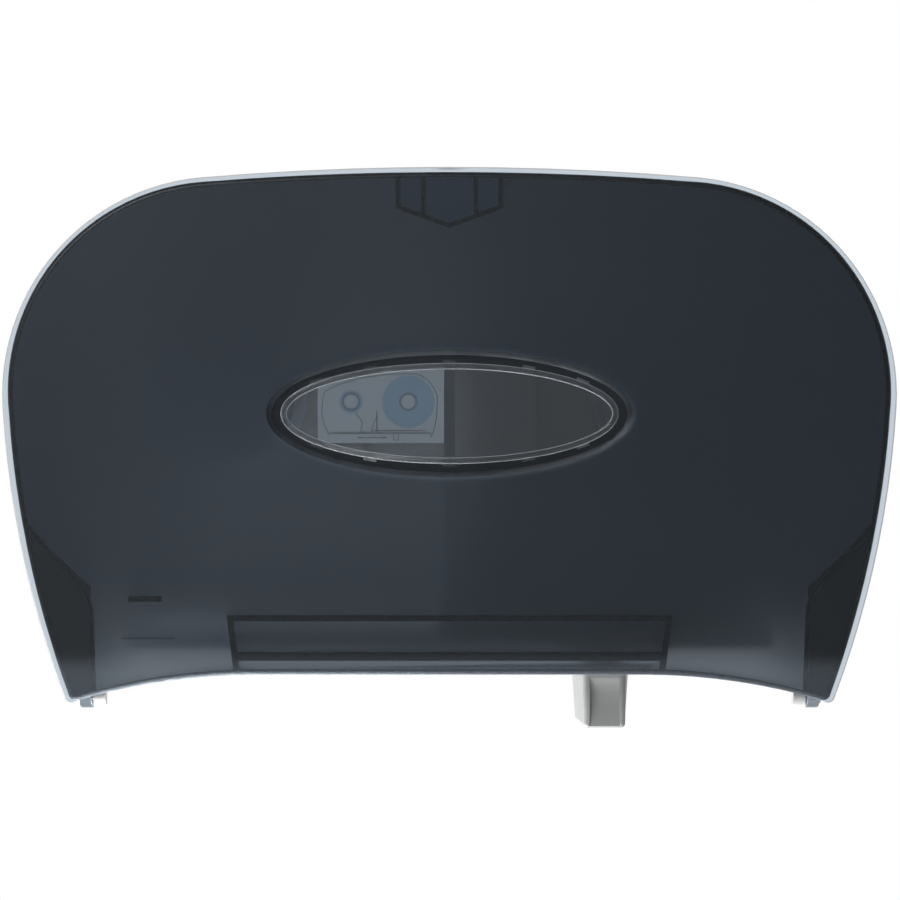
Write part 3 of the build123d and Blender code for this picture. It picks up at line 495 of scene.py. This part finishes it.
def smoothMesh(piece):
    shape = bmesh.new()
    shape.from_mesh(piece.data)
    bmesh.ops.remove_doubles(shape, verts=shape.verts, dist=smoothPieces["mergeDistance"])
    flat = math.radians(smoothPieces["flatDegrees"])
    bmesh.ops.dissolve_limit(shape, angle_limit=flat, verts=shape.verts, edges=shape.edges)
    shape.to_mesh(piece.data)
    shape.free()
    piece.data.polygons.foreach_set("use_smooth", [True] * len(piece.data.polygons))
    piece.data.set_sharp_from_angle(angle=math.radians(smoothPieces["creaseDegrees"]))
    weigh = piece.modifiers.new("weigh", "WEIGHTED_NORMAL")
    weigh.mode = "FACE_AREA"
    weigh.weight = smoothPieces["weight"]
    weigh.keep_sharp = True
    bakeModifiers(piece)


def seatPiece(piece, *nodes):
    # The piece moves with the nodes' body and stands for them
    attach(piece, frame["nodes"][nodes[0]]["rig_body"])
    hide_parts(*nodes)


# Pan-head screws: domed head with a crossed recess, shank and thread, at the places of the CAD screws
screws = {"headHeight": 0.0024, "domePower": 5.0, "domeSteps": 14, "headSides": 32, "mergeDistance": 0.000003,
          "core": 0.00125, "coreSides": 20, "thread": 0.00034, "threadSides": 4, "threadShare": 0.97,
          "pitch": 0.0013, "turnSteps": 18, "recess": 0.0046, "slotWidth": 0.0009, "slotDepth": 0.0014,
          "seed": 4}


def screwTree():
    tree, given = sizedTree("panScrew", (
        "Head Radius", "Head Height", "Length", "Core Radius", "Thread", "Pitch", "Recess", "Slot Width",
        "Slot Depth", "Seed"))
    # Head: a disc drawn along the axis, narrowing to a flat dome
    steps = addNode(tree, "GeometryNodeResampleCurve", {
        "Curve": lineUp(tree, given["Head Height"]), "Count": screws["domeSteps"]}).outputs["Curve"]
    along = addNode(tree, "GeometryNodeSplineParameter").outputs["Factor"]
    raised = mathNode(tree, "POWER", along, screws["domePower"])
    dome = mathNode(tree, "POWER", mathNode(tree, "SUBTRACT", 1.0, raised), 1 / screws["domePower"])
    head = sweep(tree, steps, circleOf(tree, given["Head Radius"], screws["headSides"]), scale=dome)
    solidHead = addNode(tree, "GeometryNodeMergeByDistance", {
        "Geometry": head, "Distance": screws["mergeDistance"]})
    # The crossed recess: two bars, half sunk into the head's top
    cutters = addNode(tree, "GeometryNodeJoinGeometry")
    lift = vectorOf(tree, z=given["Head Height"])
    depth = mathNode(tree, "MULTIPLY", given["Slot Depth"], 2.0)
    for long, short in (("Recess", "Slot Width"), ("Slot Width", "Recess")):
        size = vectorOf(tree, given[long], given[short], depth)
        bar = addNode(tree, "GeometryNodeMeshCube", {"Size": size}).outputs["Mesh"]
        tree.links.new(placed(tree, bar, Translation=lift), cutters.inputs["Geometry"])
    cut = addNode(tree, "GeometryNodeMeshBoolean", operation="DIFFERENCE", solver="EXACT")
    tree.links.new(solidHead.outputs["Geometry"], cut.inputs["Mesh 1"])
    tree.links.new(cutters.outputs["Geometry"], cut.inputs["Mesh 2"])
    # Shank and thread go down from the seat
    down = mathNode(tree, "MULTIPLY", given["Length"], -1.0)
    shank = sweep(tree, lineUp(tree, down), circleOf(tree, given["Core Radius"], screws["coreSides"]))
    turns = mathNode(tree, "DIVIDE", given["Length"], given["Pitch"])
    helix = addNode(tree, "GeometryNodeCurveSpiral", {
        "Resolution": screws["turnSteps"], "Rotations": turns,
        "Start Radius": given["Core Radius"], "End Radius": given["Core Radius"],
        "Height": mathNode(tree, "MULTIPLY", down, screws["threadShare"])}).outputs["Curve"]
    thread = sweep(tree, helix, circleOf(tree, given["Thread"], screws["threadSides"]))
    whole = addNode(tree, "GeometryNodeJoinGeometry")
    for part in (cut.outputs["Mesh"], shank, thread):
        tree.links.new(part, whole.inputs["Geometry"])
    angle = addNode(tree, "FunctionNodeRandomValue", {"Max": math.pi, "Seed": given["Seed"]},
                    data_type="FLOAT")
    places = addNode(tree, "GeometryNodeInstanceOnPoints", {
        "Points": given["Geometry"], "Instance": upright(tree, whole.outputs["Geometry"]),
        "Rotation": vectorOf(tree, y=[output for output in angle.outputs if output.enabled][0])})
    closeTree(tree, given, places.outputs["Instances"])
    return tree


def driveScrews(name, tree, nodes):
    boxes = [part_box(node) for node in nodes]
    low, high = boxes[0]
    points = [((a.x + b.x) / 2, a.y + screws["headHeight"], (a.z + b.z) / 2) for a, b in boxes]
    sizes = {"Head Radius": (high.x - low.x) / 2, "Head Height": screws["headHeight"],
             "Length": high.y - low.y - screws["headHeight"], "Core Radius": screws["core"],
             "Thread": screws["thread"], "Pitch": screws["pitch"], "Recess": screws["recess"],
             "Slot Width": screws["slotWidth"], "Slot Depth": screws["slotDepth"],
             "Seed": float(screws["seed"])}
    piece = growPiece(name, tree, points, sizes, "zincSteel")
    smoothMesh(piece)
    seatPiece(piece, *nodes)


screwNodes = {
    "postScrews": [f"{side}_post_screw_{i}" for side in ("left", "right") for i in (1, 2, 3)],
    "shelfScrews": [f"shelf_screw_{i}" for i in (1, 2, 3, 4)] + ["keeper_screw_1", "keeper_screw_2"],
}
panScrew = screwTree()
for groupName, group in screwNodes.items():
    driveScrews(groupName, panScrew, group)
print("stage: screws driven")

# Window lens: a rounded clear rim swept along an ellipse, a pane across it and snap tabs round it
lens = {"halfWidth": 0.0915, "halfHeight": 0.0273, "edgeSteps": 180, "rimWidth": 0.0033, "edgeRound": 0.0009,
        "roundSteps": 5, "paneThickness": 0.0016, "paneSetback": 0.0012, "paneOverlap": 0.0010,
        "tabLength": 0.0070, "tabWidth": 0.0034, "tabThickness": 0.0012, "tabTurns": (90, 62, 118, 38, 142)}


def lensTree():
    tree, given = sizedTree("ellipseLens", (
        "Half Width", "Half Height", "Depth", "Rim Width", "Edge Round", "Pane Thickness", "Pane Setback",
        "Pane Overlap", "Tab Length", "Tab Width", "Tab Thickness", "Front"))
    circle = circleOf(tree, 1.0, lens["edgeSteps"])

    def ellipse(inset):
        size = [mathNode(tree, "SUBTRACT", given[axis], inset) for axis in ("Half Width", "Half Height")]
        return placed(tree, circle, Scale=vectorOf(tree, *size, 1.0))

    def lowered(geometry, depth):
        # Work is drawn with its front at zero, so depths go down
        return placed(tree, geometry, Translation=vectorOf(tree, z=mathNode(tree, "MULTIPLY", depth, -1.0)))

    rimMiddle = ellipse(mathNode(tree, "MULTIPLY", given["Rim Width"], 0.5))
    path = addNode(tree, "GeometryNodeSetCurveNormal", {"Curve": rimMiddle}, mode="Z_UP").outputs["Curve"]
    section = addNode(tree, "GeometryNodeCurvePrimitiveQuadrilateral", {
        "Width": given["Rim Width"], "Height": given["Depth"]}).outputs["Curve"]
    rounded = addNode(tree, "GeometryNodeFilletCurve", {
        "Curve": section, "Radius": given["Edge Round"], "Count": lens["roundSteps"], "Limit Radius": True},
        mode="POLY").outputs["Curve"]
    rim = sweep(tree, path, rounded, caps=False)
    halfDepth = mathNode(tree, "MULTIPLY", given["Depth"], 0.5)
    # Pane: the inner ellipse drawn through its thickness
    paneEdge = ellipse(mathNode(tree, "SUBTRACT", given["Rim Width"], given["Pane Overlap"]))
    pane = sweep(tree, lineUp(tree, given["Pane Thickness"]), paneEdge)
    paneBack = mathNode(tree, "ADD", given["Pane Setback"], given["Pane Thickness"])
    # Tabs stand at the host's points, turned by each point's own lean
    named = addNode(tree, "GeometryNodeInputNamedAttribute", {"Name": "lean"}, data_type="FLOAT")
    lean = vectorOf(tree, z=named.outputs["Attribute"])
    tabSize = vectorOf(tree, given["Tab Length"], given["Tab Width"], given["Tab Thickness"])
    tab = addNode(tree, "GeometryNodeMeshCube", {"Size": tabSize}).outputs["Mesh"]
    leaning = addNode(tree, "GeometryNodeInstanceOnPoints", {
        "Points": given["Geometry"], "Instance": tab, "Rotation": lean}).outputs["Instances"]
    tabs = addNode(tree, "GeometryNodeRealizeInstances", {"Geometry": leaning}).outputs["Geometry"]
    halfTab = mathNode(tree, "MULTIPLY", given["Tab Thickness"], 0.5)
    tabDepth = mathNode(tree, "SUBTRACT", given["Depth"], halfTab)
    union = addNode(tree, "GeometryNodeMeshBoolean", {"Self Intersection": True},
                    operation="UNION", solver="EXACT")
    for part, depth in ((rim, halfDepth), (pane, paneBack), (tabs, tabDepth)):
        tree.links.new(lowered(part, depth), union.inputs["Mesh 2"])
    closeTree(tree, given, upright(tree, union.outputs["Mesh"], given["Front"]))
    return tree


def makeLens():
    low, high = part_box("window_lens")
    halfWidth, halfHeight = lens["halfWidth"], lens["halfHeight"]
    points, leans = [], []
    for turn in lens["tabTurns"]:
        for side in (0, 180):
            angle = math.radians(turn + side)
            points.append((halfWidth * math.cos(angle), halfHeight * math.sin(angle), 0))
            leans.append(math.atan2(halfHeight * math.cos(angle), -halfWidth * math.sin(angle)))
    sizes = {"Half Width": halfWidth, "Half Height": halfHeight, "Depth": high.y - low.y, "Front": low.y,
             "Rim Width": lens["rimWidth"], "Edge Round": lens["edgeRound"],
             "Pane Thickness": lens["paneThickness"], "Pane Setback": lens["paneSetback"],
             "Pane Overlap": lens["paneOverlap"], "Tab Length": lens["tabLength"],
             "Tab Width": lens["tabWidth"], "Tab Thickness": lens["tabThickness"]}
    piece = growPiece("windowLens", lensTree(), points, sizes, "clearPlastic", leans=leans)
    piece.data.transform(Matrix.Translation((0, 0, (low.z + high.z) / 2)))
    smoothMesh(piece)
    seatPiece(piece, "window_lens")


makeLens()
print("stage: window lens swept")


def smoothCopy(node):
    source = frame["nodes"][node]
    mesh = source.data.copy()
    mesh.name = node + "Smooth"
    piece = linkPiece(node + "Smooth", mesh)
    smoothMesh(piece)
    seatPiece(piece, node)


# Every other node is shown by a smoothed copy of its own solid
grown = {"window_lens"}.union(*screwNodes.values())
for nodeName in frame["nodes"]:
    if nodeName not in grown:
        smoothCopy(nodeName)
print("stage: rounded pieces smoothed")

# Card artwork: a plain sketch of a dispenser with a nearly empty and a full roll, in metres across and up
artwork = {
    "lift": 0.00005,
    "ink": 0.00004,
    "line": 0.00028,
    "circleSteps": 64,
    "rolls": {"small": {"middle": (-0.0533, -0.0056), "outer": 0.0063, "ring": 0.0048, "core": 0.0040},
              "full": {"middle": (-0.0223, -0.0057), "outer": 0.0142, "ring": 0.0047, "core": 0.0040}},
    "caseLeft": [(-0.0619, 0.0029), (-0.0676, -0.0001), (-0.0690, -0.0062), (-0.0692, -0.0128),
                 (-0.0676, -0.0188), (-0.0656, -0.0230), (-0.0650, -0.0245)],
    "caseTop": [(-0.0619, 0.0029), (-0.0480, 0.0072), (-0.0330, 0.0092), (-0.0200, 0.0095)],
    "caseRight": [(-0.0200, 0.0095), (-0.0165, 0.0092), (-0.0123, 0.0065), (-0.0087, 0.0023),
                  (-0.0066, -0.0026), (-0.0066, -0.0085), (-0.0072, -0.0146), (-0.0081, -0.0200),
                  (-0.0102, -0.0254)],
    "shelf": [[(-0.0648, -0.0236), (-0.0646, -0.0222), (-0.0106, -0.0222), (-0.0103, -0.0240)],
              [(-0.0640, -0.0229), (-0.0112, -0.0229)], [(-0.0423, -0.0212), (-0.0130, -0.0212)]],
    "fin": [[(-0.0392, -0.0222), (-0.0392, -0.0102), (-0.0396, -0.0146), (-0.0414, -0.0176),
             (-0.0423, -0.0222)], [(-0.0394, -0.0222), (-0.0394, -0.0106)]],
    "lever": [[(-0.0303, -0.0229), (-0.0303, -0.0264), (-0.0276, -0.0264), (-0.0276, -0.0229)]],
    "paper": [[(-0.0506, -0.0118), (-0.0496, -0.0138), (-0.0475, -0.0158), (-0.0472, -0.0180),
               (-0.0481, -0.0202), (-0.0478, -0.0217), (-0.0462, -0.0221)]],
    "arrows": [[(-0.0496, -0.0251), (-0.0344, -0.0251)],
               [(-0.0482, -0.0246), (-0.0496, -0.0251), (-0.0482, -0.0256)],
               [(-0.0358, -0.0246), (-0.0344, -0.0251), (-0.0358, -0.0256)]],
}


def inkTree():
    tree, given = sizedTree("inkLine", ("Line Width", "Line Height", "Front"))
    curves = addNode(tree, "GeometryNodeMeshToCurve", {"Mesh": given["Geometry"]}).outputs["Curve"]
    path = addNode(tree, "GeometryNodeSetCurveNormal", {"Curve": curves}, mode="Z_UP").outputs["Curve"]
    nib = addNode(tree, "GeometryNodeCurvePrimitiveQuadrilateral", {
        "Width": given["Line Width"], "Height": given["Line Height"]}).outputs["Curve"]
    closeTree(tree, given, upright(tree, sweep(tree, path, nib), given["Front"]))
    return tree


def circlePoints(roll, size):
    (x, z), radius, steps = roll["middle"], roll[size], artwork["circleSteps"]
    turns = [2 * math.pi * i / steps for i in range(steps)]
    return [(x + radius * math.cos(turn), z + radius * math.sin(turn)) for turn in turns]


def printPiece(piece):
    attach(piece, "cover")


def drawLines(front):
    runs = [artwork["caseLeft"], artwork["caseTop"], artwork["caseRight"]]
    for name in ("shelf", "fin", "lever", "paper", "arrows"):
        runs += artwork[name]
    for roll in artwork["rolls"].values():
        for size in ("ring", "core"):
            loop = circlePoints(roll, size)
            runs.append(loop + loop[:1])
    points, edges = [], []
    for run in runs:
        start = len(points)
        points += [(x, z, 0) for x, z in run]
        edges += [(start + i, start + i + 1) for i in range(len(run) - 1)]
    sizes = {"Line Width": artwork["line"], "Line Height": artwork["ink"], "Front": front}
    printPiece(growPiece("cardLines", inkTree(), points, sizes, "lineInk", edges))


def drawDisc(name, roll, front):
    # Thin printed ring: an outer and an inner circle bridged by quads, front, back and edges
    shape = bmesh.new()
    outerFront, outerBack, innerFront, innerBack = [
        [shape.verts.new((x, depth, z)) for x, z in circlePoints(roll, size)]
        for size in ("outer", "core") for depth in (front, front + artwork["ink"])]
    around = (outerFront, innerFront, innerBack, outerBack)
    for first, second in zip(around, around[1:] + around[:1]):
        for i in range(len(first)):
            j = (i + 1) % len(first)
            shape.faces.new((first[i], first[j], second[j], second[i]))
    bmesh.ops.recalc_face_normals(shape, faces=shape.faces)
    mesh = bpy.data.meshes.new(name)
    shape.to_mesh(mesh)
    shape.free()
    mesh.materials.append(materials["rollInk"])
    printPiece(linkPiece(name, mesh))


def drawArtwork():
    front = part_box("instruction_card")[0].y - artwork["lift"]
    for name, roll in artwork["rolls"].items():
        drawDisc("cardRoll" + name.capitalize(), roll, front - artwork["ink"])
    drawLines(front - 2 * artwork["ink"])


drawArtwork()
print("stage: card artwork drawn")

# Studio: pale floor, white surroundings, and soft lamps at both sides, in front and below
studio = {
    "floorHeight": -1.5,
    "floorSize": 12.0,
    "floorColour": (0.92, 0.92, 0.92),
    "ambient": (0.25, 1.0),
    "gloss": (0.22, 0.78),
    "frontToBack": (-0.6, 0.6),
    "leftLamp": {"spot": (-1.7, -0.35, 0.25), "size": (1.6, 2.2), "watts": 5.0},
    "rightLamp": {"spot": (1.7, -0.35, 0.25), "size": (1.6, 2.2), "watts": 1.5},
    "frontLamp": {"spot": (-0.7, -1.6, 0.9), "size": (0.8, 0.8), "watts": 14.5},
    "lowLamp": {"spot": (-0.22, -0.02, -0.55), "size": (0.8, 0.4), "watts": 8.5},
}
lampNames = [name for name in studio if name.endswith("Lamp")]


def floatMix(tree, share, first, second):
    values = {"Factor": share, "A": first, "B": second}
    return addNode(tree, "ShaderNodeMix", values, data_type="FLOAT").outputs["Result"]


def seenRays(tree):
    path = addNode(tree, "ShaderNodeLightPath").outputs
    return mathNode(tree, "MAXIMUM", path["Is Camera Ray"], path["Is Transmission Ray"])


def buildWorld():
    # White to the eye. For light and for mirrors the surroundings are dim in front and bright at the back
    world, tree = freshTree("studioWorld", "worlds")
    bpy.context.scene.world = world
    back = axisOf(tree, addNode(tree, "ShaderNodeTexCoord").outputs["Generated"])
    around = remap(tree, back, *studio["ambient"], *studio["frontToBack"])
    mirrored = remap(tree, back, *studio["gloss"], *studio["frontToBack"])
    glossy = addNode(tree, "ShaderNodeLightPath").outputs["Is Glossy Ray"]
    strength = floatMix(tree, seenRays(tree), floatMix(tree, glossy, around, mirrored), 1.0)
    light = addNode(tree, "ShaderNodeBackground", {"Color": (1, 1, 1, 1), "Strength": strength})
    addNode(tree, "ShaderNodeOutputWorld", {"Surface": light.outputs["Background"]})


def floorMaterial():
    material, tree = freshTree("paleFloor")
    plain = shaderOf(tree, "ShaderNodeBsdfDiffuse", {"Color": (*studio["floorColour"], 1)})
    glow = addNode(tree, "ShaderNodeEmission", {"Color": (1, 1, 1, 1), "Strength": 1.0}).outputs["Emission"]
    finishMaterial(tree, mixShaders(tree, seenRays(tree), plain, glow))
    return material


def buildFloor():
    half = studio["floorSize"] / 2
    mesh = bpy.data.meshes.new("floor")
    corners = [(-half, -half), (half, -half), (half, half), (-half, half)]
    mesh.from_pydata([(x, y, studio["floorHeight"]) for x, y in corners], [], [(0, 1, 2, 3)])
    mesh.materials.append(floorMaterial())
    linkPiece("floor", mesh)


def addLamp(name):
    look = studio[name]
    data = bpy.data.lights.new(name, "AREA")
    data.shape = "RECTANGLE"
    data.size, data.size_y = look["size"]
    data.energy = look["watts"]
    lamp = bpy.data.objects.new(name, data)
    bpy.context.scene.collection.objects.link(lamp)
    lamp.location = look["spot"]
    lamp.rotation_euler = (-Vector(look["spot"])).to_track_quat("-Z", "Y").to_euler()


buildCamera()
buildWorld()
buildFloor()
for lampName in lampNames:
    addLamp(lampName)
bpy.context.scene.view_settings.view_transform = "Standard"
print("stage: studio built")
